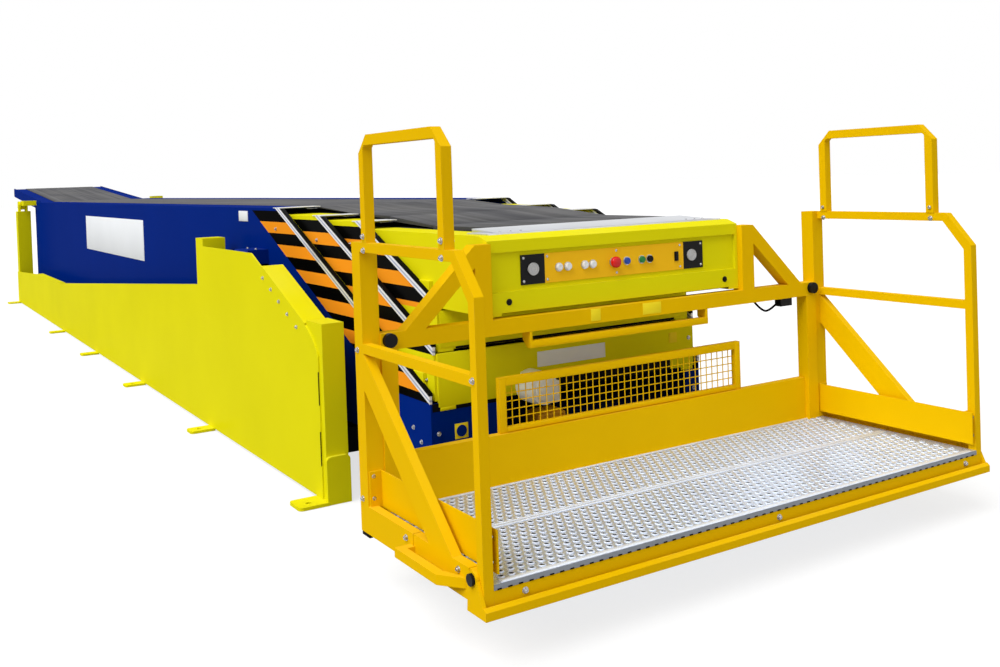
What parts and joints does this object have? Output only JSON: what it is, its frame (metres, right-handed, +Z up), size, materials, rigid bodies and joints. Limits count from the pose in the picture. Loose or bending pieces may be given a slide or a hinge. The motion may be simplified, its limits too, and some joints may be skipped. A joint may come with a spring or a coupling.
{
  "type": "telescopic boom conveyor",
  "caption": "Floor-bolted telescopic belt conveyor: nested booms slide out of a lifting main boom, with a control box and a guarded operator platform at the end.",
  "frame": {"origin": "on the floor at the middle of the base's anchor holes", "axes": "+X along the boom towards the platform, +Y to its left, +Z up"},
  "size_m": [12.29, 2.05, 1.319],
  "materials": {
    "base_yellow": "gloss yellow-green paint",
    "platform_yellow": "gloss golden yellow paint",
    "boom_blue": "gloss deep blue paint",
    "black_metal": "satin black paint",
    "rod_chrome": "hard chrome",
    "deck_steel": "zinc-plated sheet",
    "belt_rubber": "matt belt fabric",
    "trim_aluminium": "anodised",
    "pad_plastic": "wear plastic",
    "motor_grey": "light grey paint",
    "panel_gold": "satin golden paint",
    "black_plastic": "black plastic",
    "button_white": "push-button caps",
    "button_red": "red mushroom head",
    "grating": "bright perforated planks",
    "cable_black": "black cable sheath"
  },
  "bodies": {
    "base": {"base_side_left": "base_yellow", "base_side_right": "base_yellow", "base_posts": "base_yellow", "base_rear_posts": "base_yellow", "slope_covers": "base_yellow", "base_cross_members": "black_metal", "lift_barrels": "black_metal"},
    "main_boom": {"main_belt": "belt_rubber", "main_brackets": "base_yellow", "main_deck": "deck_steel", "main_pads": "pad_plastic", "main_pan": "boom_blue", "main_side_left": "boom_blue", "main_side_right": "boom_blue", "main_tail": "boom_blue", "main_trim": "trim_aluminium", "tail_belt": "belt_rubber", "tail_roller": "deck_steel"},
    "boom_1": {"boom_1_belt": "belt_rubber", "boom_1_deck": "deck_steel", "boom_1_pads": "pad_plastic", "boom_1_pan": "base_yellow", "boom_1_side_left": "base_yellow", "boom_1_side_right": "base_yellow", "boom_1_trim": "trim_aluminium", "drive_motor": "motor_grey"},
    "boom_2": {"boom_2_belt": "belt_rubber", "boom_2_deck": "deck_steel", "boom_2_pads": "pad_plastic", "boom_2_pan": "base_yellow", "boom_2_side_left": "base_yellow", "boom_2_side_right": "base_yellow", "boom_2_trim": "trim_aluminium"},
    "boom_3": {"boom_3_belt": "belt_rubber", "boom_3_deck": "deck_steel", "boom_3_pan": "base_yellow", "boom_3_side_left": "base_yellow", "boom_3_side_right": "base_yellow", "back_board": "platform_yellow", "control_box": "base_yellow", "control_buttons": "button_white", "control_lamps": "black_plastic", "control_panel": "panel_gold", "emergency_stop": "button_red", "end_sensor": "black_plastic", "floor_frame": "platform_yellow", "floor_planks": "grating", "grab_bar": "platform_yellow", "guard_hoops": "platform_yellow", "guard_left": "platform_yellow", "guard_right": "platform_yellow", "hanger_beam": "platform_yellow", "hanger_posts": "platform_yellow", "mesh_guard": "platform_yellow", "pin_caps": "black_plastic", "sensor_lead": "cable_black", "side_bumpers": "platform_yellow"},
    "safety_bar": {"safety_bar": "platform_yellow"},
    "lift_rod_left": {"lift_rod_left": "rod_chrome"},
    "lift_rod_right": {"lift_rod_right": "rod_chrome"}
  },
  "joints": [
    {"name": "boom_lift", "type": "hinge", "parent": "base", "child": "main_boom", "pos_m": [-4.242, 0, 1.048], "axis": [0, -1, 0], "range_deg": [0, 5]},
    {"name": "boom_1_slide", "type": "slide", "parent": "main_boom", "child": "boom_1", "axis": [1, 0, 0], "range_m": [0, 5]},
    {"name": "boom_2_slide", "type": "slide", "parent": "boom_1", "child": "boom_2", "axis": [1, 0, 0], "range_m": [0, 5]},
    {"name": "boom_3_slide", "type": "slide", "parent": "boom_2", "child": "boom_3", "axis": [1, 0, 0], "range_m": [0, 5]},
    {"name": "bumper_swing", "type": "hinge", "parent": "boom_3", "child": "safety_bar", "pos_m": [5.748, 0, 0.229], "axis": [0, 1, 0], "range_deg": [0, 5], "stiffness_Nm_per_rad": 40, "springref_deg": -14.32},
    {"name": "lift_rod_left_slide", "type": "slide", "parent": "base", "child": "lift_rod_left", "axis": [0, 0, 1], "range_m": [0, 0.65]},
    {"name": "lift_rod_right_slide", "type": "slide", "parent": "base", "child": "lift_rod_right", "axis": [0, 0, 1], "range_m": [0, 0.65]}
  ],
  "couplings": [
    {"joint": "boom_2_slide", "follows": "boom_1_slide", "ratio": 1},
    {"joint": "boom_3_slide", "follows": "boom_1_slide", "ratio": 1},
    {"joint": "lift_rod_left_slide", "follows": "boom_lift", "m_per_rad": 7.388},
    {"joint": "lift_rod_right_slide", "follows": "boom_lift", "m_per_rad": 7.388}
  ]
}
